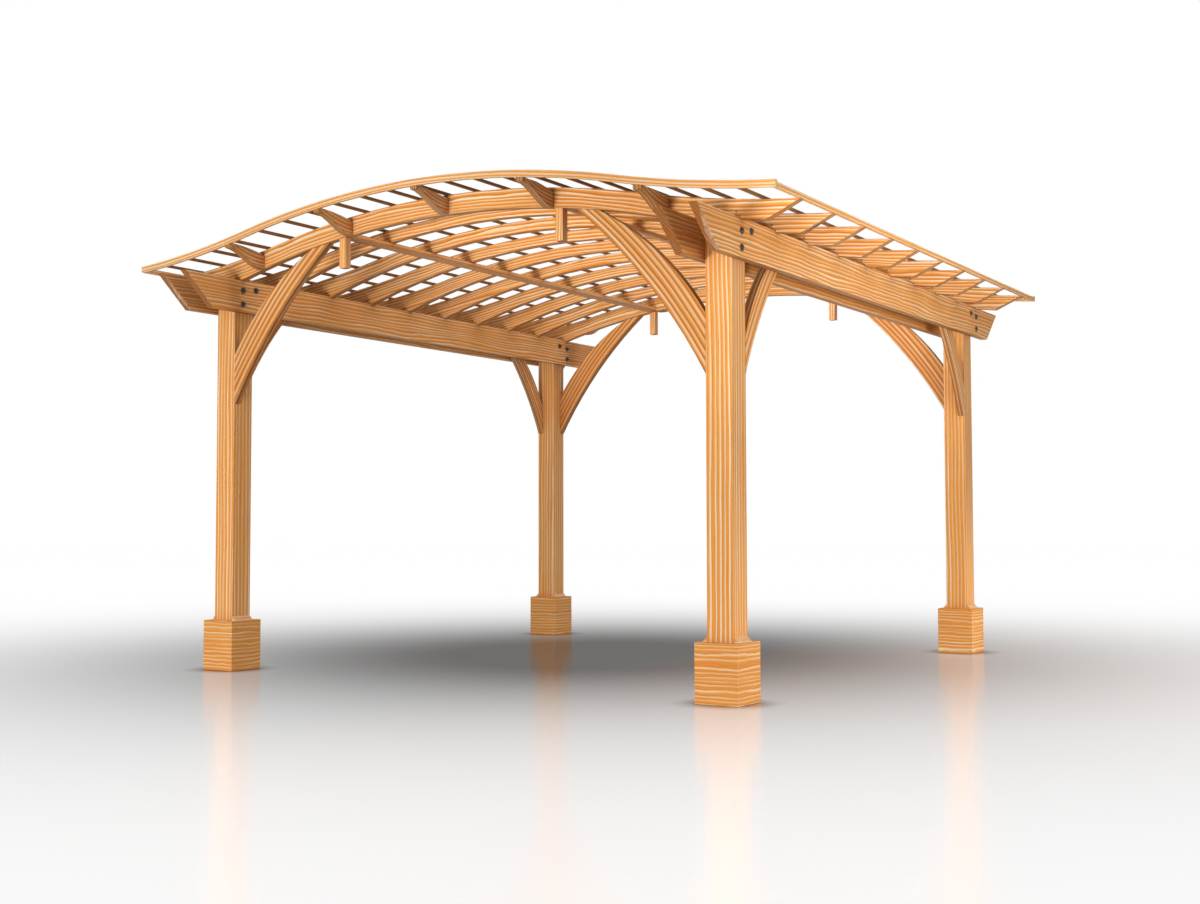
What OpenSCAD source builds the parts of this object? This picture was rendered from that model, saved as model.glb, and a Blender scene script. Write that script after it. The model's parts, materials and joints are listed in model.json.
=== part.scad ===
// Arched wooden pergola: four square posts with boxed bases carry twin beams
// on which flared arched rafters sit on level seats. Curved braces stiffen the
// posts both ways. Thin slats run along the roof between edge and eave strips.
// Millimetres. +X across the arch, +Y along the beams, +Z up, floor at zero.

/* [Posts] */
// side of a square post
post_side = 152; // [120:1:180]
// post centre to post centre across the arch
span_x = 3515; // [3300:5:3700]
// post centre to post centre along the beams
span_y = 3588; // [3400:4:3800]
// floor to the underside of the beams
beam_under = 2250; // [2150:5:2400]

/* [Boards] */
// thickness of beams, rafters, braces, hangers and base boards
board_t = 48; // [38:1:51]

/* [Base trim] */
// height of the boxed base
base_h = 310; // [200:5:400]
// width and height of the sloped strips on the boxed base beside the post
base_cant = 28; // [15:1:40]

/* [Beams] */
// depth of a beam board
beam_h = 203; // [184:1:235]
// overhang of the beam tip past the post centre
beam_reach = 528; // [480:2:560]
// length of the slanted end cut of a beam
beam_cut = 226; // [120:2:260]

/* [Rafters] */
// radius of the lower edge of the arch
arch_r = 5820; // [5600:10:6200]
// depth of an end rafter at the crown
rafter_h = 112; // [100:1:125]
// depth of a common rafter at the crown
common_h = 72; // [60:1:100]
// depth of the notch at the inner beam face
seat_notch = 6; // [3:0.5:12]
// depth of the notch at the outer beam face
heel_notch = 10; // [5:0.5:16]
// overhang of the rafter tip past the post centre
eave_reach = 460; // [410:2.5:520]
// distance from the post centre in to where the arch turns into the flared tail
flare_in = 457.5; // [360:2.5:560]
// radius of the flared tail at the top edge
flare_r = 6570; // [6000:10:7500]
// length of the slanted cut at a rafter tip
tip_cut = 190; // [140:2:210]
// drop of the tail corner below the beam top
tail_drop = 30; // [20:1:50]

/* [Braces] */
// drop of the lower tip of a brace below the beams
brace_drop = 582; // [530:2:650]
// drop below the beams where the upper edge of an across brace meets the post
across_drop = 265; // [220:5:350]
// reach of the lower edge of an across brace from the post at its head
across_reach = 791.5; // [750:0.5:830]
// width of an across brace at its head
across_w = 150; // [110:5:170]
// bow of the lower edge of an across brace
across_bow = 58; // [30:2:80]
// drop below the beams where the upper edge of an along brace meets the post
along_drop = 370; // [310:5:410]
// reach of the lower edge of an along brace from the post at the beam underside
along_reach = 470; // [430:5:500]
// width of an along brace at the beam underside
along_w = 120; // [90:2:140]
// bow of the edges of an along brace
along_bow = 36; // [20:2:50]
// rise of an along brace between the twin beams
along_lap = 90; // [50:2:120]

/* [Hangers and purlins] */
// distance of hangers and purlins from the head of an across brace
hanger_gap = 107; // [80:1:150]
// length of a hanger below the rafter
hanger_len = 181; // [150:1:220]
// depth of a hanger along the beams
hanger_d = 48; // [38:1:90]
// width of a purlin
purlin_w = 70; // [50:2:90]
// thickness of a purlin
purlin_t = 26; // [20:1:38]

/* [Roof] */
// spacing of the slats along the curve
slat_pitch = 203; // [190:1:220]
// width of a slat
slat_w = 22; // [16:1:40]
// thickness of a slat
slat_t = 15; // [12:1:24]
// height of the curved edge strips
strip_h = 38; // [30:1:45]
// height of the straight eave strips
eave_h = 28; // [22:1:36]
// thickness of the edge and eave strips
strip_t = 25; // [18:1:32]
// overhang of the roof edge past the end rafter face
overhang = 290; // [240:5:330]
// distance of the outermost lookout in from the post centre
lookout_in = 307.5; // [250:2.5:400]
// depth of a lookout at its root
lookout_h = 90; // [70:2:100]
// drop of the lookout top below the rafter top at the root
lookout_dip = 26; // [15:1:35]
// depth of a lookout at its tip
lookout_tip = 20; // [14:1:26]

/* [Hidden] */
// play between a notch and the beam face beside it
fit = 0.5;
// height of a flat seat above a curved edge made of short straight pieces
hair = 0.1;
// number of arched rafters
rafter_n = 10;
// number of lookouts on either side of the one in the middle
lookout_n = 2;
// straight pieces in the arch and in a flared tail of one side
arch_steps = 24;
tail_steps = 16;
// straight pieces in the edge of a brace and of a lookout
brace_steps = 10;
lookout_steps = 8;

px = span_x / 2;
py = span_y / 2;
half = post_side / 2;
beam_top = beam_under + beam_h;
beam_in = px - half - board_t;
beam_out = px + half + board_t;
end_y = py + half;
rafter_y = end_y - board_t / 2;
rafter_step = 2 * rafter_y / (rafter_n - 1);
base_side = post_side + 2 * board_t;

tip_x = px + eave_reach;
flare_x = px - flare_in;
brace_low = beam_under - brace_drop;
across_in = px - half - across_reach;
across_out = across_in + across_w;
hanger_x = across_in - hanger_gap;
lookout_pitch = (px - lookout_in) / lookout_n;

// arch centre and the flare of the top edge
notch_x = beam_in - fit;
arch_z = beam_top - seat_notch - sqrt(arch_r * arch_r - notch_x * notch_x);
top_r = arch_r + rafter_h;
flare_a = asin(flare_x / top_r);
flare_cx = (top_r + flare_r) * sin(flare_a);
flare_cz = arch_z + (top_r + flare_r) * cos(flare_a);
tip_a = asin((flare_cx - tip_x) / flare_r);

// lower edge of the common rafters: a tighter arc through the same notch
common_crown = arch_z + top_r - common_h;
common_rise = common_crown - beam_top + seat_notch;
common_r = (notch_x * notch_x + common_rise * common_rise) / (2 * common_rise);
common_z = common_crown - common_r;

// point of the top edge, raised by n, at slope a of the arch or b of the tail
function on_arch(a, n) = [(top_r + n) * sin(a), arch_z + (top_r + n) * cos(a)];
function on_tail(b, n) = [flare_cx - (flare_r - n) * sin(b), flare_cz - (flare_r - n) * cos(b)];

// right half of the top edge from the crown to the tip
function arch_points(n) = [for (i = [0:arch_steps]) on_arch(flare_a * i / arch_steps, n)];
function tail_points(n) = let (b_end = asin((flare_cx - tip_x) / (flare_r - n)))
    [for (i = [1:tail_steps]) on_tail(flare_a + (b_end - flare_a) * i / tail_steps, n)];
function top_half(n) = concat(arch_points(n), tail_points(n));
function flip(list) = [for (i = [len(list) - 1:-1:0]) list[i]];
function mirrored(list) = [for (p = flip(list)) [-p[0], p[1]]];
function drop_first(list) = [for (i = [1:len(list) - 1]) list[i]];
function drop_last(list) = [for (i = [0:len(list) - 2]) list[i]];

// height and slope of the top edge at a distance x from the centre
function top_z(x) = x < flare_x
    ? arch_z + sqrt(top_r * top_r - x * x)
    : flare_cz - sqrt(flare_r * flare_r - (flare_cx - x) * (flare_cx - x));
function low_z(x) = arch_z + sqrt(arch_r * arch_r - x * x);

// slope and place on the top edge at a length s along the curve
arch_len = top_r * flare_a * PI / 180;
function slope_at(s) = s < arch_len
    ? s / top_r * 180 / PI
    : flare_a - (s - arch_len) / flare_r * 180 / PI;
function place_at(s) = s < arch_len ? on_arch(slope_at(s), 0) : on_tail(slope_at(s), 0);

// arc of points from p to q that bows by h to the left of the way
function bowed(p, q, h, steps) =
    let (d = q - p, l = norm(d), r = (l * l / 4 + h * h) / (2 * h), a = asin(l / 2 / r))
    let (u = d / l, v = [-u[1], u[0]], c = (p + q) / 2 - v * (r - h))
    [for (i = [0:steps]) let (t = -a + 2 * a * i / steps) c + r * (u * sin(t) + v * cos(t))];

// lower edge of a rafter, an arc about height z, from the crown out to the notch
function low_half(r, z) = let (a_end = asin(notch_x / r))
    [for (i = [0:arch_steps]) let (a = a_end * i / arch_steps) [r * sin(a), z + r * cos(a)]];
tail_half = [
    [beam_in - fit, beam_top],
    [beam_out + fit, beam_top],
    [beam_out + fit, beam_top - heel_notch],
    [tip_x - tip_cut, beam_top - tail_drop]
];
function rafter_outline(r, z) =
    let (side = concat(low_half(r, z), tail_half, flip(top_half(0))))
    concat(drop_first(side), mirrored(drop_last(side)));

// whole top edge from tip to tip, raised by n
function top_edge(n) = concat(mirrored(drop_first(top_half(n))), top_half(n));

strip_y = end_y + overhang;
slat_half_n = floor((arch_len + (flare_a - tip_a) * PI / 180 * flare_r - slat_w) / slat_pitch);

wood = [0.87, 0.60, 0.30];
wood_dark = [0.72, 0.45, 0.20];

// upright outline in the X-Z plane, grown along +Y from y by t
module slab(y, t) {
    translate([0, y + t, 0])
        rotate([90, 0, 0])
            linear_extrude(t)
                children();
}

// upright outline drawn in Y-Z, grown along +X from x by t
module side_slab(x, t) {
    translate([x, 0, 0])
        rotate([90, 0, 90])
            linear_extrude(t)
                children();
}

module turned(side_x, side_y) {
    scale([side_x, side_y, 1])
        children();
}

module post() {
    color(wood)
        translate([px - half, py - half, 0])
            cube([post_side, post_side, beam_top]);
}

// one boxed base: four boards with mitred corners and a sloped strip on two sides
module base() {
    color(wood)
        translate([px, py, 0]) {
            linear_extrude(base_h)
                difference() {
                    square(base_side, center = true);
                    square(post_side, center = true);
                }
            for (side = [-1, 1])
                scale([side, 1, 1])
                    slab(-half, post_side)
                        polygon([[half, base_h], [half + base_cant, base_h], [half, base_h + base_cant]]);
        }
}

module beam(x) {
    tip = py + beam_reach;
    color(wood)
        side_slab(x, board_t)
            polygon([
                [-tip + beam_cut, beam_under],
                [tip - beam_cut, beam_under],
                [tip, beam_top],
                [-tip, beam_top]
            ]);
}

// the first and the last rafter are deeper, because they carry the braces
module rafter(i) {
    is_end = i == 1 || i == rafter_n;
    color(wood)
        slab(-rafter_y + (i - 1) * rafter_step - board_t / 2, board_t)
            polygon(is_end ? rafter_outline(arch_r, arch_z) : rafter_outline(common_r, common_z));
}

// brace in the plane of an end rafter, from the post up to the rafter
module brace_across() {
    foot = px - half;
    lower = bowed([foot, brace_low], [across_in, low_z(across_in) - hair], -across_bow, brace_steps);
    head = [for (i = [1:3]) let (x = across_in + (across_out - across_in) * i / 4) [x, low_z(x) - hair]];
    upper = bowed([across_out, low_z(across_out) - hair], [foot, beam_under - across_drop], across_bow, brace_steps);
    color(wood)
        slab(end_y - board_t, board_t)
            polygon(concat(lower, head, upper));
}

// brace along the beams, its head lapped on the outer beam
module brace_along() {
    foot = py - half;
    reach = foot - along_reach;
    lower = bowed([foot, brace_low], [reach, beam_under + along_lap], -along_bow, brace_steps);
    upper = bowed([reach + along_w, beam_under + along_lap], [foot, beam_under - along_drop], along_bow, brace_steps);
    color(wood)
        side_slab(px + half - board_t, board_t)
            polygon(concat(lower, upper));
}

module hanger() {
    x0 = hanger_x - board_t / 2;
    x1 = hanger_x + board_t / 2;
    low = low_z(hanger_x) - hanger_len;
    color(wood)
        slab(end_y - hanger_d, hanger_d)
            polygon([[x0, low], [x1, low], [x1, low_z(x1) - hair], [x0, low_z(x0) - hair]]);
}

// purlin laid flat against the undersides of the common rafters, from end rafter to end rafter
module purlin() {
    slope = asin(hanger_x / common_r);
    length = 2 * (end_y - board_t);
    color(wood)
        translate([hanger_x, -length / 2, common_z + common_r * cos(slope)])
            rotate([0, slope, 0])
                translate([-purlin_w / 2, 0, -purlin_t - hair])
                    cube([purlin_w, length, purlin_t]);
}

// upswept tail that carries the edge strip in front of the end rafter
module lookout(x) {
    top = top_z(x - board_t / 2);
    drop = top - top_z(x + board_t / 2);
    run = strip_y - end_y;
    upper = [for (i = [0:lookout_steps]) let (t = i / lookout_steps)
        [end_y + run * t, top - (lookout_dip + drop) * (1 - t) * (1 - t)]];
    sweep = lookout_dip + lookout_h - lookout_tip;
    lower = [for (i = [0:lookout_steps]) let (t = i / lookout_steps)
        [strip_y - run * t, top - drop - lookout_tip - sweep * (1 - cos(180 * t)) / 2]];
    intersection() {
        side_slab(x - board_t / 2, board_t)
            polygon(concat(upper, lower));
        slab(end_y, run)
            polygon(concat(top_edge(-hair), [[tip_x, beam_under], [-tip_x, beam_under]]));
    }
}

module lookouts() {
    color(wood)
        for (k = [-lookout_n:lookout_n])
            scale([k < 0 ? -1 : 1, 1, 1])
                lookout(abs(k) * lookout_pitch);
}

module roof_slats() {
    color(wood_dark)
        for (k = [-slat_half_n:slat_half_n]) {
            s = abs(k) * slat_pitch;
            p = place_at(s);
            scale([k < 0 ? -1 : 1, 1, 1])
                translate([p[0], -strip_y + strip_t, p[1]])
                    rotate([0, slope_at(s), 0])
                        translate([-slat_w / 2, 0, hair])
                            cube([slat_w, 2 * (strip_y - strip_t), slat_t]);
        }
}

module edge_strip() {
    color(wood)
        slab(strip_y - strip_t, strip_t)
            polygon(concat(top_edge(0), flip(top_edge(strip_h))));
}

module eave_strip() {
    in_x = tip_x - strip_t;
    length = 2 * (strip_y - strip_t);
    low = [[in_x, top_z(in_x) + hair], [tip_x, top_z(tip_x) + hair]];
    high = [[tip_x, top_z(tip_x) + eave_h], [in_x, top_z(in_x) + eave_h]];
    color(wood)
        slab(-length / 2, length)
            polygon(concat(low, high));
}

turned(-1, -1) post();  // post_front_left
turned(1, -1) post();  // post_front_right
turned(-1, 1) post();  // post_rear_left
turned(1, 1) post();  // post_rear_right
turned(-1, -1) base();  // base_front_left
turned(1, -1) base();  // base_front_right
turned(-1, 1) base();  // base_rear_left
turned(1, 1) base();  // base_rear_right
turned(-1, 1) beam(beam_in);  // beam_left_inner
turned(-1, 1) beam(px + half);  // beam_left_outer
beam(beam_in);  // beam_right_inner
beam(px + half);  // beam_right_outer
rafter(1);  // rafter_01
rafter(2);  // rafter_02
rafter(3);  // rafter_03
rafter(4);  // rafter_04
rafter(5);  // rafter_05
rafter(6);  // rafter_06
rafter(7);  // rafter_07
rafter(8);  // rafter_08
rafter(9);  // rafter_09
rafter(10);  // rafter_10
turned(-1, -1) brace_across();  // brace_across_front_left
turned(1, -1) brace_across();  // brace_across_front_right
turned(-1, 1) brace_across();  // brace_across_rear_left
turned(1, 1) brace_across();  // brace_across_rear_right
turned(-1, -1) brace_along();  // brace_along_front_left
turned(1, -1) brace_along();  // brace_along_front_right
turned(-1, 1) brace_along();  // brace_along_rear_left
turned(1, 1) brace_along();  // brace_along_rear_right
turned(-1, -1) hanger();  // hanger_front_left
turned(1, -1) hanger();  // hanger_front_right
turned(-1, 1) hanger();  // hanger_rear_left
turned(1, 1) hanger();  // hanger_rear_right
turned(-1, 1) purlin();  // purlin_left
purlin();  // purlin_right
turned(1, -1) lookouts();  // lookouts_front
lookouts();  // lookouts_rear
roof_slats();
turned(1, -1) edge_strip();  // edge_strip_front
edge_strip();  // edge_strip_rear
turned(-1, 1) eave_strip();  // eave_strip_left
eave_strip();  // eave_strip_right
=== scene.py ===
"""Looks of the arched wooden pergola: striped softwood, bolts, screws, floor, light and camera."""
import json
import math

import bmesh
import bpy
from mathutils import Matrix, Vector


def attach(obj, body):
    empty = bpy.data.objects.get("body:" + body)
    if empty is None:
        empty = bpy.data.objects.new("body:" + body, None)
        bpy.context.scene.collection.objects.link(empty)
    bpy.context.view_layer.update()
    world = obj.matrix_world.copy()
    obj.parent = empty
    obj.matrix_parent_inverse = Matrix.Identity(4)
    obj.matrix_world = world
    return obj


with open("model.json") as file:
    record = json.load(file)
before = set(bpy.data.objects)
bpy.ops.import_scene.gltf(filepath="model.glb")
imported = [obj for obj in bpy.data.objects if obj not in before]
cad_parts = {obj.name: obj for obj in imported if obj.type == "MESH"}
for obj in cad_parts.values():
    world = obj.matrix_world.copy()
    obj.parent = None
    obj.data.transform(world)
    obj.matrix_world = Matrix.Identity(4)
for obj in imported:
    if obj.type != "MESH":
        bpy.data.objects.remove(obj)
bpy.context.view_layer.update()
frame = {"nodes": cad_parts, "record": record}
nodes = frame["nodes"]
scene = bpy.context.scene


def box(node):
    """Lowest and highest corner of a CAD node, to a tenth of a millimetre."""
    points = [vertex.co for vertex in nodes[node].data.vertices]
    return [[round(pick(point[i] for point in points), 4) for i in range(3)] for pick in (min, max)]


# Sizes of the CAD part in metres, taken from the frame
(post_left, post_front, _), (post_right, post_rear, _) = box("post_front_right")
POST_X, POST_Y = (post_left + post_right) / 2, -(post_front + post_rear) / 2  # post centres
HALF = (post_right - post_left) / 2  # half the side of a post
(BEAM_IN, _, BEAM_LOW), (inner_out, _, BEAM_TOP) = box("beam_right_inner")
BEAM_OUT = box("beam_right_outer")[1][0]  # outer face of a pair of beams
BOARD = inner_out - BEAM_IN
END_Y = box("rafter_10")[1][1]  # outer faces of the end rafters
RAFTERS = sum(name.startswith("rafter_") for name in nodes)

# Arcs of a rafter as in the CAD source: the lower edge, the top edge and the flared tail
ARCH_R, TOP_R = 5.820, 5.932
FLARE_X, FLARE_R = 1.300, 6.570
SEAT_NOTCH, SEAT_PLAY = 0.006, 0.0005
ARCH_Z = BEAM_TOP - SEAT_NOTCH - math.sqrt(ARCH_R**2 - (BEAM_IN - SEAT_PLAY) ** 2)
FLARE_A = math.asin(FLARE_X / TOP_R)
FLARE_CX = (TOP_R + FLARE_R) * math.sin(FLARE_A)
FLARE_CZ = ARCH_Z + (TOP_R + FLARE_R) * math.cos(FLARE_A)

# Lower edges of the braces as in the CAD source, from the post to the head
BRACE_LOW = 1.668
ACROSS_HEAD_X, ACROSS_BOW = 0.890, -0.058
ALONG_REACH, ALONG_RISE, ALONG_BOW = 0.470, 0.090, -0.036


def bow_centre(p, q, h):
    """Centre of the arc from p to q that bows by h."""
    p, q = Vector(p), Vector(q)
    d = q - p
    u = d.normalized()
    v = Vector((-u.y, u.x))
    r = (d.length_squared / 4 + h * h) / (2 * h)
    return (p + q) / 2 - v * (r - h)


ACROSS_CENTRE = bow_centre(
    (POST_X - HALF, BRACE_LOW),
    (ACROSS_HEAD_X, ARCH_Z + math.sqrt(ARCH_R**2 - ACROSS_HEAD_X**2)),
    ACROSS_BOW)
ALONG_CENTRE = bow_centre(
    (POST_Y - HALF, BRACE_LOW),
    (POST_Y - HALF - ALONG_REACH, BEAM_LOW + ALONG_RISE),
    ALONG_BOW)


# Materials
class Net:
    """Short way to write shader sums."""

    def __init__(self, tree):
        self.tree = tree

    def node(self, kind, **settings):
        n = self.tree.nodes.new(kind)
        for key, value in settings.items():
            setattr(n, key, value)
        return n

    def put(self, socket, value):
        if isinstance(value, bpy.types.NodeSocket):
            self.tree.links.new(value, socket)
        else:
            socket.default_value = value

    def math(self, op, a, b=None):
        n = self.node("ShaderNodeMath", operation=op)
        self.put(n.inputs[0], a)
        if b is not None:
            self.put(n.inputs[1], b)
        return n.outputs[0]

    def add(self, a, b):
        return self.math("ADD", a, b)

    def sub(self, a, b):
        return self.math("SUBTRACT", a, b)

    def mul(self, a, b):
        return self.math("MULTIPLY", a, b)

    def size(self, a):
        return self.math("ABSOLUTE", a)

    def hypot(self, a, b):
        return self.math("SQRT", self.add(self.mul(a, a), self.mul(b, b)))

    def choose(self, fac, a, b):
        """a where fac is 0 and b where it is 1."""
        return self.add(self.mul(a, self.sub(1.0, fac)), self.mul(b, fac))

    def combine(self, x, y, z):
        n = self.node("ShaderNodeCombineXYZ")
        for socket, value in zip(n.inputs, (x, y, z)):
            self.put(socket, value)
        return n.outputs[0]

    def split(self, vector):
        n = self.node("ShaderNodeSeparateXYZ")
        self.put(n.inputs[0], vector)
        return n.outputs

    def noise(self, vector, scale, detail=2.0, rough=0.5, w=None):
        n = self.node("ShaderNodeTexNoise", noise_dimensions="3D" if w is None else "4D")
        self.put(n.inputs["Vector"], vector)
        n.inputs["Scale"].default_value = scale
        n.inputs["Detail"].default_value = detail
        n.inputs["Roughness"].default_value = rough
        if w is not None:
            self.put(n.inputs["W"], w)
        return n.outputs["Fac"]

    def ramp(self, fac, stops):
        n = self.node("ShaderNodeValToRGB")
        elements = n.color_ramp.elements
        while len(elements) < len(stops):
            elements.new(0.5)
        for element, (position, colour) in zip(elements, stops):
            element.position = position
            element.color = (*colour, 1.0)
        self.put(n.inputs[0], fac)
        return n.outputs["Color"]

    def map(self, value, a, b, c, d):
        """Value from a to b laid on c to d."""
        n = self.node("ShaderNodeMapRange", clamp=True)
        self.put(n.inputs[0], value)
        for socket, v in zip(n.inputs[1:5], (a, b, c, d)):
            socket.default_value = v
        return n.outputs[0]

    def mix(self, fac, a, b, blend="MIX"):
        n = self.node("ShaderNodeMix", data_type="RGBA", blend_type=blend)
        self.put(n.inputs[0], fac)
        self.put(n.inputs[6], a)
        self.put(n.inputs[7], b)
        return n.outputs[2]

    def tint(self, fac, colour, factor):
        """Colour times factor, as far as fac says."""
        return self.mix(fac, colour, self.mix(1.0, colour, (*factor, 1.0), "MULTIPLY"))

    def openness(self, distance, samples):
        """1 in the open, less where other surfaces stand within the distance."""
        n = self.node("ShaderNodeAmbientOcclusion", samples=samples)
        n.inputs["Distance"].default_value = distance
        return n.outputs["AO"]


def new_material(name):
    mat = bpy.data.materials.new(name)
    mat.use_nodes = True
    return mat, Net(mat.node_tree)


def srgb(r, g, b):
    """Linear colour of an 8-bit screen colour."""
    return tuple(
        c / 12.92 if c <= 0.04045 else ((c + 0.055) / 1.055) ** 2.4
        for c in (r / 255, g / 255, b / 255))


BLACK, WHITE = (0, 0, 0), (1, 1, 1)
PALE = srgb(252, 235, 205)
LIGHT = srgb(244, 191, 116)
ORANGE = srgb(241, 172, 90)
DEEP = srgb(231, 151, 68)
BROWN = srgb(186, 104, 44)
SAWN = srgb(180, 140, 106)
# dark arris colour: a painted shade line along the edges
RIM_SHADE = srgb(112, 62, 28)
PATCH = srgb(250, 215, 170)
FINE = (0.70, 0.52, 0.36)
FIBRE = (0.60, 0.50, 0.40)
# painted shade in the nooks between boards: its colour and its reach
CREVICE_SHADE = (0.40, 0.30, 0.20)
CREVICE_SHADE_REACH = 0.22  # m
STRIPE_AT, STRIPE_SOFT = 0.34, 0.07  # middle and soft edge of the pale stripe, as shares of a ring
EDGE_FACING = 0.66  # a face that looks less than this along the broad way is an edge
EDGE_SHIFT = 0.731  # m, so that the rings of an edge are not those of the broad face
HEART_OFF, HEART_SQUASH = 0.11, 1.6  # middle of the arcs on sawn ends, in metres, and their form
SHIFTS, RING_SHIFTS = 37.0, 5.0  # how far the noise and the rings differ from board to board


def wood(name, place, ends, flat, stripe=0.027, duty=0.30, pale=1.0, tone=1.0, sway=0.010, slow=0.8,
         ripple=0.003, quick=3.0, uneven=0.008, cut=1.0, rim=PALE, edge_shade=1.0, crevice_shade=0.0,
         tone_on_tops=1.0, lines=1.0, seed=0.0):
    """Striped softwood.

    place gives the way along the grain and the ways across it on the broad faces and on the edges.
    ends is the axis of the sawn ends and cut their darkness; flat is the axis of the broad faces.
    stripe is the width of a ring, duty the share and pale the strength of its pale stripe, and lines
    the strength of its dark one. sway and slow, ripple and quick are the height and the pace of the
    rings' waves, and uneven is how much their widths differ. rim is the colour of the arrises: PALE
    for rubbed wear, RIM_SHADE for a painted shade line. edge_shade is the painted shade on the edge
    faces, crevice_shade the painted shade in the nooks between boards, and tone the darkness of the
    whole, of which faces that look up take the share tone_on_tops; on the slats tone is painted shade.
    """
    mat, net = new_material(name)
    tree = mat.node_tree
    shader = tree.nodes["Principled BSDF"]
    axis = {"x": 0, "y": 1, "z": 2}
    coords = net.node("ShaderNodeTexCoord")
    facing = net.split(coords.outputs["Normal"])
    ways = [net.size(way) for way in facing]
    rnd = net.node("ShaderNodeObjectInfo").outputs["Random"]
    shift = net.add(net.mul(rnd, SHIFTS), seed)
    along, broad, edge = place(net, *net.split(coords.outputs["Object"]))

    def stretched(lengthwise, crosswise):
        """Noise coordinates drawn out along the grain."""
        return net.combine(net.mul(along, lengthwise), net.mul(broad, crosswise), net.mul(edge, crosswise))

    sway_at = stretched(slow, 4.0)
    quick_at = stretched(quick, 14.0)

    # the way across the rings, on broad faces, edges and sawn ends
    is_edge = net.math("LESS_THAN", ways[axis[flat]], EDGE_FACING)
    cross = net.choose(is_edge, broad, net.add(edge, EDGE_SHIFT))
    if ends:
        sawn = net.map(ways[axis[ends]], 0.40, 0.52, 0.0, 1.0)
        arcs = net.hypot(net.add(broad, HEART_OFF), net.mul(edge, HEART_SQUASH))
        cross = net.choose(sawn, cross, arcs)

    # rings: how many were passed, and the place within one
    ring = cross
    for at, height in ((sway_at, sway), (quick_at, ripple)):
        ring = net.add(ring, net.mul(net.sub(net.noise(at, 1.0, 1.0, 0.5, shift), 0.5), height * 4.0))
    widths = net.noise(net.combine(net.mul(cross, 14.0), shift, 0.0), 1.0, 1.0)
    ring = net.add(ring, net.mul(widths, uneven * 3.0))
    count = net.add(net.math("DIVIDE", ring, stripe), net.mul(rnd, RING_SHIFTS))
    turn = net.math("FRACT", count)
    each = net.node("ShaderNodeTexWhiteNoise", noise_dimensions="1D")
    net.put(each.inputs["W"], net.add(net.math("FLOOR", count), net.math("FLOOR", shift)))

    # pale stripe and darker latewood of each ring
    low, high = STRIPE_AT - duty / 2, STRIPE_AT + duty / 2
    line = net.ramp(turn, [
        (0.0, BLACK), (low - STRIPE_SOFT, BLACK), (low, WHITE),
        (high, WHITE), (high + STRIPE_SOFT, BLACK), (1.0, BLACK)])
    late = tuple(d + (b - d) * (lines - 1.0) for d, b in zip(DEEP, BROWN))
    spread = 0.25 * (lines - 1.0)
    ground = net.ramp(turn, [
        (0.0, ORANGE), (0.12, LIGHT), (high + 0.06, LIGHT), (high + 0.12, late),
        (high + 0.14 + spread, late), (high + 0.28 + spread, ORANGE), (1.0, ORANGE)])
    streaks = net.noise(stretched(1.4, 120.0), 1.0, 2.0, 0.6, shift)
    ground = net.mix(net.map(streaks, 0.35, 0.65, 0.0, 0.55), ground, (*DEEP, 1.0))
    bold = net.map(each.outputs["Value"], 0.0, 0.7, 0.40, 1.0)
    fade = net.map(net.noise(sway_at, 2.3, 1.0, 0.5, net.add(shift, 4.0)), 0.34, 0.56, 0.55, 1.0)
    colour = net.mix(net.mul(net.mul(net.mul(line, bold), fade), pale), ground, (*PALE, 1.0))

    # patches, fine lines, flecks and fibres
    patch = net.noise(sway_at, 0.8, 2.0, 0.5, net.add(shift, 9.0))
    colour = net.tint(net.map(patch, 0.35, 0.68, 0.0, 0.28), colour, PATCH)
    fine = net.ramp(net.math("FRACT", net.mul(count, 4.3)), [
        (0.0, WHITE), (0.45, WHITE), (0.82, FINE), (1.0, WHITE)])
    colour = net.mix(net.map(streaks, 0.32, 0.68, 0.10, 0.60), colour, fine, "MULTIPLY")
    flecks = net.noise(stretched(26.0, 620.0), 1.0, 0.0, 0.5, shift)
    colour = net.mix(net.map(flecks, 0.70, 0.78, 0.0, 0.45), colour, (*BROWN, 1.0))
    fibres = net.noise(stretched(4.0, 420.0), 1.0, 2.0, 0.6)
    colour = net.mix(0.30, colour, net.ramp(fibres, [(0.30, FIBRE), (0.52, WHITE)]), "MULTIPLY")

    # sawn ends, painted shade on edges, arrises, and painted shade in nooks
    if ends:
        colour = net.tint(net.mul(sawn, cut), colour, SAWN)
    # painted shade on the edge faces, the undersides among them
    if edge_shade != 1.0:
        colour = net.tint(is_edge, colour, (edge_shade, edge_shade * 0.93, edge_shade * 0.85))
    # arrises: the pale rim is rubbed wear, the dark rim a painted shade line along the edges
    others = [way for i, way in enumerate(ways) if i != axis[flat]]
    arris = net.mul(net.mul(ways[axis[flat]], net.hypot(*others)), 2.0)
    rim_breakup = net.map(net.noise(quick_at, 3.0, 2.0, 0.6, shift), 0.35, 0.6, 0.3, 1.0)
    rim_strength = 0.45 if rim == PALE else 0.90
    colour = net.mix(net.mul(net.map(arris, 0.55, 0.95, 0.0, rim_strength), rim_breakup), colour, (*rim, 1.0))
    # darker all over, up-facing faces by their own share; on the slats this is painted shade, lighter on
    # their tops
    if tone != 1.0:
        share = net.map(facing[2], 0.3, 0.7, 1.0, tone_on_tops)
        colour = net.tint(share, colour, (tone, tone * 0.94, tone * 0.86))
    # painted shade in the nooks between boards, darkest where other surfaces stand close
    if crevice_shade:
        colour = net.tint(net.map(net.openness(CREVICE_SHADE_REACH, 3), 0.36, 0.90, crevice_shade, 0.0), colour, CREVICE_SHADE)

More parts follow.
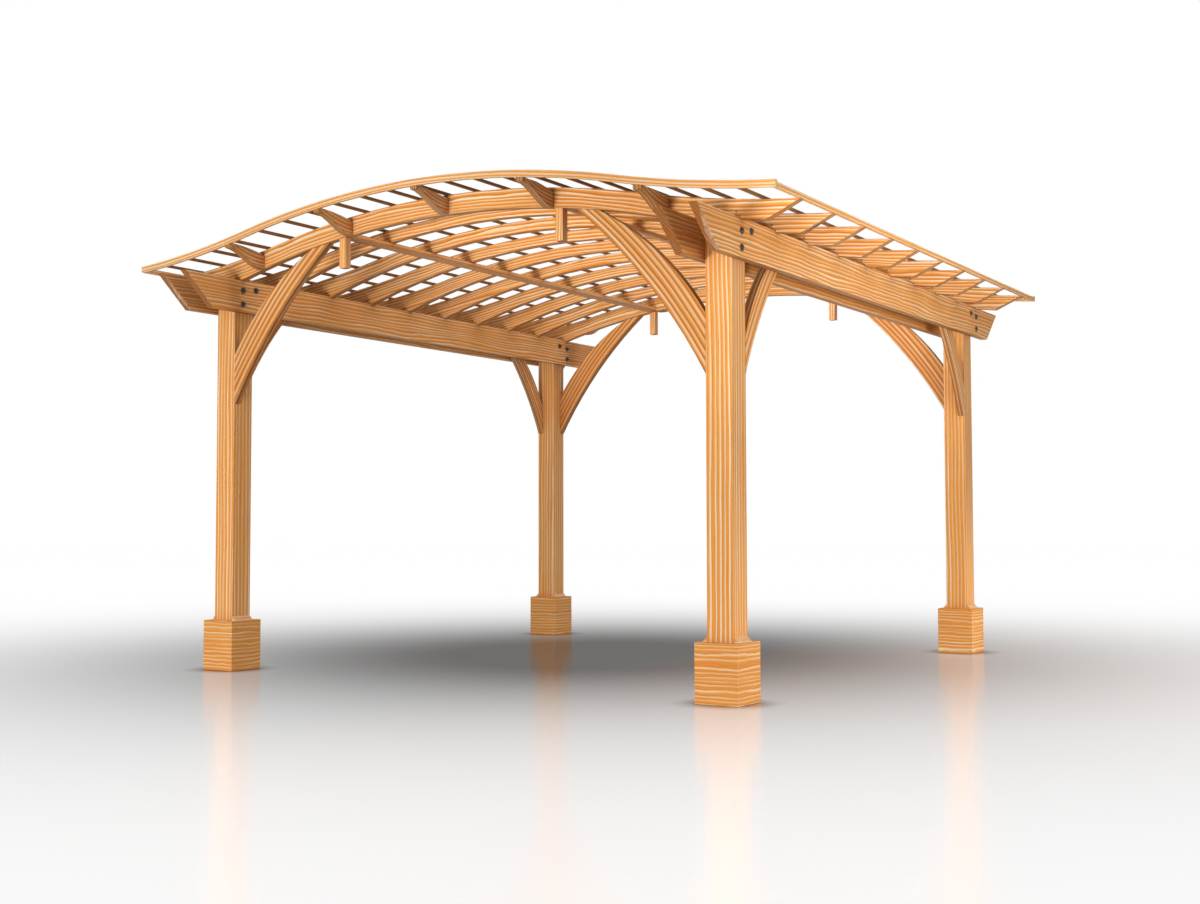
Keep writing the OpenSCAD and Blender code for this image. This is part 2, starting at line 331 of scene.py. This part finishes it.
    net.put(shader.inputs["Base Color"], colour)
    net.put(shader.inputs["Roughness"], net.map(fibres, 0.3, 0.7, 0.50, 0.64))
    shader.inputs["Specular IOR Level"].default_value = 0.30
    bump = net.node("ShaderNodeBump")
    bump.inputs["Strength"].default_value = 0.30
    bump.inputs["Distance"].default_value = 0.0008
    net.put(bump.inputs["Height"], net.add(net.mul(fibres, 0.6), net.mul(line, 0.25)))
    tree.links.new(bump.outputs[0], shader.inputs["Normal"])
    return mat


def curve_height(net, x, z):
    """Height above the curved top edge of the rafters, the same on both sides of the crown."""
    out = net.size(x)
    inner = net.math("MINIMUM", out, FLARE_X)
    arch = net.add(net.math("SQRT", net.sub(TOP_R**2, net.mul(inner, inner))), ARCH_Z)
    far = net.sub(FLARE_CX, net.math("MAXIMUM", out, FLARE_X))
    tail = net.sub(FLARE_CZ, net.math("SQRT", net.sub(FLARE_R**2, net.mul(far, far))))
    return net.sub(z, net.choose(net.math("GREATER_THAN", out, FLARE_X), arch, tail))


def place_post(net, x, y, z):
    return z, net.sub(net.size(x), POST_X), net.sub(net.size(y), POST_Y)


def place_base(net, x, y, z):
    around = net.add(net.sub(net.size(x), POST_X), net.sub(net.size(y), POST_Y))
    return around, z, net.sub(z, EDGE_SHIFT)  # level rings on all four sides


def place_rafter(net, x, y, z):
    return x, curve_height(net, x, z), y


def place_across(net, x, y, z):
    dx = net.sub(net.size(x), ACROSS_CENTRE.x)
    return z, net.hypot(dx, net.sub(z, ACROSS_CENTRE.y)), y


def place_along(net, x, y, z):
    dy = net.sub(net.size(y), ALONG_CENTRE.x)
    return z, net.hypot(dy, net.sub(z, ALONG_CENTRE.y)), x


def place_upright(net, x, y, z):
    return z, x, y


def place_lengthwise(net, x, y, z):
    return y, z, x


LOOKOUT_RISE = 0.9  # upsweep of the lookouts, in metres at a metre out


def place_lookout(net, x, y, z):
    out = net.sub(net.size(y), END_Y)
    rise = net.mul(net.mul(out, out), LOOKOUT_RISE)
    return y, net.sub(curve_height(net, x, z), rise), x


WAVY = dict(sway=0.020, slow=1.0, ripple=0.005, quick=4.0, uneven=0.016)
WOODS = {
    "post_wood": dict(place=place_post, ends="z", flat="y", duty=0.24, crevice_shade=0.6),
    "base_wood": dict(
        place=place_base, ends="", flat="x", stripe=0.025, duty=0.24, pale=0.85, sway=0.006, slow=2.5,
        ripple=0.004, quick=9.0, uneven=0.022, tone=0.95, seed=3.0),
    "beam_wood": dict(
        place=place_lengthwise, ends="y", flat="x", stripe=0.022, duty=0.24, pale=0.90, cut=0.60,
        edge_shade=0.62, crevice_shade=1.0, lines=1.3, seed=5.0, **WAVY),
    "rafter_wood": dict(
        place=place_rafter, ends="x", flat="y", stripe=0.020, duty=0.25, cut=0.20, rim=RIM_SHADE,
        edge_shade=0.55, crevice_shade=0.45, lines=1.5, seed=7.0, **WAVY),
    "brace_across_wood": dict(
        place=place_across, ends="", flat="y", stripe=0.031, tone=0.88, rim=RIM_SHADE, edge_shade=0.62,
        crevice_shade=0.8, lines=1.7, seed=11.0),
    "brace_along_wood": dict(
        place=place_along, ends="", flat="x", stripe=0.029, rim=RIM_SHADE, edge_shade=0.60, crevice_shade=0.8,
        lines=1.7, seed=13.0),
    "hanger_wood": dict(place=place_upright, ends="z", flat="y", stripe=0.016, seed=17.0),
    "purlin_wood": dict(
        place=place_lengthwise, ends="y", flat="x", stripe=0.018, duty=0.25, rim=RIM_SHADE, edge_shade=0.70,
        seed=19.0),
    "lookout_wood": dict(
        place=place_lookout, ends="", flat="x", stripe=0.020, rim=RIM_SHADE, edge_shade=0.55, crevice_shade=0.8,
        lines=1.5, seed=23.0, **WAVY),
    # slats darkened all over as painted shade, less on their tops
    "slat_wood": dict(
        place=place_lengthwise, ends="y", flat="x", stripe=0.012, tone=0.31, pale=0.25, tone_on_tops=0.30,
        seed=29.0),
    "edge_strip_wood": dict(
        place=place_rafter, ends="", flat="y", stripe=0.019, duty=0.45, sway=0.004, seed=31.0),
    "eave_strip_wood": dict(
        place=place_lengthwise, ends="", flat="x", stripe=0.019, duty=0.38, sway=0.004, seed=37.0),
}
materials = {name: wood(name, **settings) for name, settings in WOODS.items()}

WELD = 0.00005
ARRIS, ARRIS_SHAPED = 0.0025, 0.004
SHAPED = ("rafter", "brace", "lookout")  # boards with sawn outlines, which have wider arrises
for part in frame["record"]["subparts"]:
    obj = nodes[part["node"]]
    obj.data.materials.clear()
    obj.data.materials.append(materials[part["material_slot"]])
    weld = obj.modifiers.new("weld", "WELD")
    weld.merge_threshold = WELD
    soft = obj.modifiers.new("arris", "BEVEL")
    soft.width = ARRIS_SHAPED if part["node"].startswith(SHAPED) else ARRIS
    soft.segments = 2
    soft.limit_method = "ANGLE"
    soft.angle_limit = math.radians(25)


def metal(name, colour, rough):
    mat, net = new_material(name)
    shader = mat.node_tree.nodes["Principled BSDF"]
    coords = net.node("ShaderNodeTexCoord")
    grime = net.noise(coords.outputs["Object"], 140.0, 3.0, 0.6)
    dark = tuple(c * 0.55 for c in colour)
    net.put(shader.inputs["Base Color"], net.ramp(grime, [(0.35, dark), (0.60, colour)]))
    net.put(shader.inputs["Roughness"], net.map(grime, 0.3, 0.7, rough + 0.12, rough - 0.08))
    shader.inputs["Metallic"].default_value = 0.85
    return mat


BOLT_STEEL = metal("bolt_steel", (0.16, 0.165, 0.165), 0.45)
SCREW_STEEL = metal("screw_steel", (0.10, 0.085, 0.075), 0.50)

# Fasteners, as profiles of (radius, height) from the foot to the top
WASHER = ((0, -0.001), (0.019, -0.001), (0.019, 0.0022), (0.0182, 0.003), (0, 0.003))
DOME = (
    (0, 0.003), (0.0140, 0.003), (0.0138, 0.0052), (0.0120, 0.0085), (0.0085, 0.0108), (0.0045, 0.0119),
    (0, 0.0122))
NUT = (
    (0, 0.003), (0.0122, 0.003), (0.0132, 0.0042), (0.0132, 0.0120), (0.0120, 0.0134), (0, 0.0134))
BOLT_END = ((0, 0.0134), (0.0062, 0.0134), (0.0062, 0.0190), (0.0052, 0.0202), (0, 0.0202))
SCREW_HEAD = (
    (0, -0.0006), (0.0048, -0.0006), (0.0048, 0.0004), (0.0040, 0.0008), (0.0016, 0.0006),
    (0.0012, -0.0002), (0, -0.0003))
ROUND, END_ROUND, SCREW_ROUND, HEXAGON = 28, 18, 14, 6  # sides
BOLTS = ((0.055, 0.050), (-0.055, 0.150), (0.055, 0.136))  # past the post's middle, above the beam's foot
SCREWS_X = (-0.085, 0.105)  # off the post's middle
SCREW_Z = BEAM_TOP + 0.030


def lathe(bm, profile, segments, matrix):
    """Turned form."""
    rings = []
    for r, h in profile:
        angles = [2 * math.pi * k / segments for k in range(segments)] if r else [0.0]
        points = [Vector((r * math.cos(a), r * math.sin(a), h)) for a in angles]
        rings.append([bm.verts.new(matrix @ p) for p in points])
    for lower, upper in zip(rings, rings[1:]):
        for k in range(segments):
            j = (k + 1) % segments
            if len(upper) == 1:
                bm.faces.new((lower[k], lower[j], upper[0]))
            elif len(lower) == 1:
                bm.faces.new((lower[0], upper[j], upper[k]))
            else:
                bm.faces.new((lower[k], lower[j], upper[j], upper[k]))


def aim(place, direction):
    turned = Vector(direction).to_track_quat("Z", "Y").to_matrix().to_4x4()
    return Matrix.Translation(place) @ turned


def bolt(bm, place, direction, nut):
    """Washer with a domed head, or with a hexagon nut and the bolt's end."""
    matrix = aim(place, direction)
    lathe(bm, WASHER, ROUND, matrix)
    if nut:
        lathe(bm, NUT, HEXAGON, matrix)
        lathe(bm, BOLT_END, END_ROUND, matrix)
    else:
        lathe(bm, DOME, ROUND, matrix)


def piece(name, bm, mat):
    mesh = bpy.data.meshes.new(name)
    bmesh.ops.recalc_face_normals(bm, faces=bm.faces)
    bm.to_mesh(mesh)
    bm.free()
    mesh.materials.append(mat)
    obj = bpy.data.objects.new(name, mesh)
    scene.collection.objects.link(obj)
    for face in mesh.polygons:
        face.use_smooth = True
    mesh.set_sharp_from_angle(angle=math.radians(35))
    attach(obj, "root")


# through bolts of the twin beams: heads outside, nuts inside
CORNERS = (("front_left", -1, -1), ("front_right", 1, -1), ("rear_left", -1, 1), ("rear_right", 1, 1))
for label, sx, sy in CORNERS:
    bm = bmesh.new()
    for dy, rise in BOLTS:
        y, z = sy * (POST_Y + dy), BEAM_LOW + rise
        bolt(bm, (sx * BEAM_OUT, y, z), (sx, 0, 0), False)
        bolt(bm, (sx * BEAM_IN, y, z), (-sx, 0, 0), True)
    piece("beam_bolts_" + label, bm, BOLT_STEEL)

# screws through the rafters' faces above both beams
screws = bmesh.new()
first = -(END_Y - BOARD / 2)
step = -2 * first / (RAFTERS - 1)
for i in range(RAFTERS):
    for side in (-1, 1):
        for face in (-1, 1):
            for dx in SCREWS_X:
                at = (side * (POST_X + dx), first + i * step + face * BOARD / 2, SCREW_Z)
                lathe(screws, SCREW_HEAD, SCREW_ROUND, aim(at, (0, face, 0)))
piece("screws", screws, SCREW_STEEL)

# Floor: a shiny pale sheet that turns to plain white away from the shade under the roof;
# that shade is partly cast by the lamps and partly painted, as a dark matte left without white glow
FLOOR_SIZE, FLOOR_Z = 60, -0.0005
SHADE_X, SHADE_Y = -0.30, 0.285  # middle of the painted shadow
SHADE_COOL, SHADE_WARM = (0.110, 0.106, 0.102, 1), (0.320, 0.190, 0.125, 1)
WARM_FROM, WARM_TO = 0.2, 1.7  # where the painted shadow turns warm along X
FADE_FROM, FADE_REACH, FADE_POWER = 1.0, 3.05, 1.55  # distances from the middle of the painted shadow, and steepness of its fade
CONTACT = 0.17  # reach of the painted contact shadow around the bases
SHEEN, SHEEN_ROUGH = 0.40, 0.18
GLOW = 1.467  # white once the sheen is mixed in

floor_mesh = bpy.data.meshes.new("floor")
bm = bmesh.new()
bmesh.ops.create_grid(bm, x_segments=1, y_segments=1, size=FLOOR_SIZE)
bm.to_mesh(floor_mesh)
bm.free()
floor = bpy.data.objects.new("floor", floor_mesh)
scene.collection.objects.link(floor)
floor.location.z = FLOOR_Z
floor_mat, net = new_material("floor")
tree = floor_mat.node_tree
tree.nodes.remove(tree.nodes["Principled BSDF"])
matte = net.node("ShaderNodeBsdfDiffuse")
gloss = net.node("ShaderNodeBsdfGlossy")
gloss.inputs["Color"].default_value = (1, 1, 1, 1)
gloss.inputs["Roughness"].default_value = SHEEN_ROUGH
glow = net.node("ShaderNodeEmission")
glow.inputs["Color"].default_value = (1, 1, 1, 1)
glow.inputs["Strength"].default_value = GLOW
x, y, _ = net.split(net.node("ShaderNodeTexCoord").outputs["Object"])
# painted shadow: dark matte colours, warmer towards +X
shadow_warmth = net.map(x, WARM_FROM, WARM_TO, 0.0, 1.0)
net.put(matte.inputs["Color"], net.mix(shadow_warmth, SHADE_COOL, SHADE_WARM))
# the painted shadow gives way to white glow with distance from its middle
away = net.hypot(net.sub(x, SHADE_X), net.sub(y, SHADE_Y))
past = net.math("DIVIDE", net.math("MAXIMUM", net.sub(away, FADE_FROM), 0.0), FADE_REACH)
fade = net.sub(1.0, net.math("EXPONENT", net.mul(net.math("POWER", past, FADE_POWER), -1.0)))
rays = net.node("ShaderNodeLightPath").outputs
seen = net.math("MAXIMUM", rays["Is Camera Ray"], rays["Is Glossy Ray"])
# painted contact shadow: less white glow where the bases stand close
contact_shadow = net.map(net.openness(CONTACT, 8), 0.55, 1.0, 0.0, 1.0)
blend = net.node("ShaderNodeMixShader")
net.put(blend.inputs[0], net.mul(net.mul(fade, seen), contact_shadow))
tree.links.new(matte.outputs[0], blend.inputs[1])
tree.links.new(glow.outputs[0], blend.inputs[2])
sheen = net.node("ShaderNodeMixShader")
sheen.inputs[0].default_value = SHEEN
tree.links.new(blend.outputs[0], sheen.inputs[1])
tree.links.new(gloss.outputs[0], sheen.inputs[2])
tree.links.new(sheen.outputs[0], tree.nodes["Material Output"].inputs["Surface"])
floor_mesh.materials.append(floor_mat)

# World: white to the camera, dimmer in reflections, and faint as light
WORLD_LIGHT, WORLD_MIRRORED, WORLD_SEEN = 0.08, 0.30, 1.0
world = bpy.data.worlds.new("studio")
scene.world = world
world.use_nodes = True
net = Net(world.node_tree)
back = world.node_tree.nodes["Background"]
back.inputs["Color"].default_value = (1, 1, 1, 1)
rays = net.node("ShaderNodeLightPath").outputs
shown = net.math("MAXIMUM", rays["Is Camera Ray"], rays["Is Transmission Ray"])
extra = net.add(
    net.mul(shown, WORLD_SEEN - WORLD_LIGHT),
    net.mul(rays["Is Glossy Ray"], WORLD_MIRRORED - WORLD_LIGHT))
net.put(back.inputs["Strength"], net.add(extra, WORLD_LIGHT))

WARM, COOL = (1.0, 0.98, 0.96), (0.97, 1.0, 1.0)
LAMPS = (  # name, place, target, width, height, watts, spread in degrees, colour
    ("key", (-0.6, -9.0, 0.75), (0, 0, 1.7), 3.6, 1.2, 478, 180, WARM),
    ("side", (5.4, -0.3, 1.30), (1.8, -0.1, 1.1), 3.2, 1.3, 97, 180, COOL),
    ("foot", (5.0, -2.2, 0.35), (1.88, -1.8, 0.2), 1.0, 0.4, 2.0, 40, WARM),
    ("foot_rear", (5.0, 1.2, 0.35), (1.88, 1.7, 0.2), 1.0, 0.4, 3.0, 40, WARM),
    ("eave", (3.7, -5.0, 0.88), (2.3, 0.3, 2.9), 1.3, 1.3, 12.5, 36, WARM),
    ("roof", (0.0, -5.0, 0.40), (-0.05, 1.0, 2.75), 1.3, 0.5, 5.8, 40, WARM),
    ("left", (-5.6, 2.2, 1.50), (-1.8, 0.6, 1.3), 3.2, 1.3, 92, 180, WARM),
    ("rear", (-2.6, 9.0, 0.90), (0, 0, 1.7), 3.6, 1.4, 330, 180, WARM),
    ("top", (0.0, 0.3, 7.5), (0, 0, 0), 9.0, 9.0, 330, 180, WARM),
)
for name, place, target, width, height, watts, spread, colour in LAMPS:
    data = bpy.data.lights.new(name, "AREA")
    data.shape = "ELLIPSE"
    data.size, data.size_y = width, height
    data.energy = watts
    data.color = colour
    data.spread = math.radians(spread)
    lamp = bpy.data.objects.new(name, data)
    scene.collection.objects.link(lamp)
    lamp.location = place
    lamp.visible_camera = False  # the background stays plain
    lamp.visible_glossy = False  # and so does the shiny floor
    lamp.rotation_euler = (Vector(target) - Vector(place)).to_track_quat("-Z", "Y").to_euler()

# Camera, solved from the edges of the posts and bases in the photo
PHOTO_WIDTH, FOCAL_PIXELS = 1200.0, 1483.1
SENSOR = 36.0  # mm
EYE = (5.2442, -8.5176, 0.893)
HEADING, PITCH, ROLL = 0.56344, 0.0502, -0.0020  # radians

camera_data = bpy.data.cameras.new("camera")
camera_data.sensor_width = SENSOR
camera_data.lens = FOCAL_PIXELS * SENSOR / PHOTO_WIDTH
camera = bpy.data.objects.new("camera", camera_data)
scene.collection.objects.link(camera)
forward = Vector((-math.sin(HEADING), math.cos(HEADING), 0))
level = Vector((math.cos(HEADING), math.sin(HEADING), 0))
up = Vector((0, 0, 1))
look = forward * math.cos(PITCH) + up * math.sin(PITCH)
lift = up * math.cos(PITCH) - forward * math.sin(PITCH)
right = level * math.cos(ROLL) + lift * math.sin(ROLL)
top = lift * math.cos(ROLL) - level * math.sin(ROLL)
rows = [(right[i], top[i], -look[i], EYE[i]) for i in range(3)]
camera.matrix_world = Matrix((*rows, (0, 0, 0, 1)))
scene.camera = camera

scene.view_settings.view_transform = "Standard"
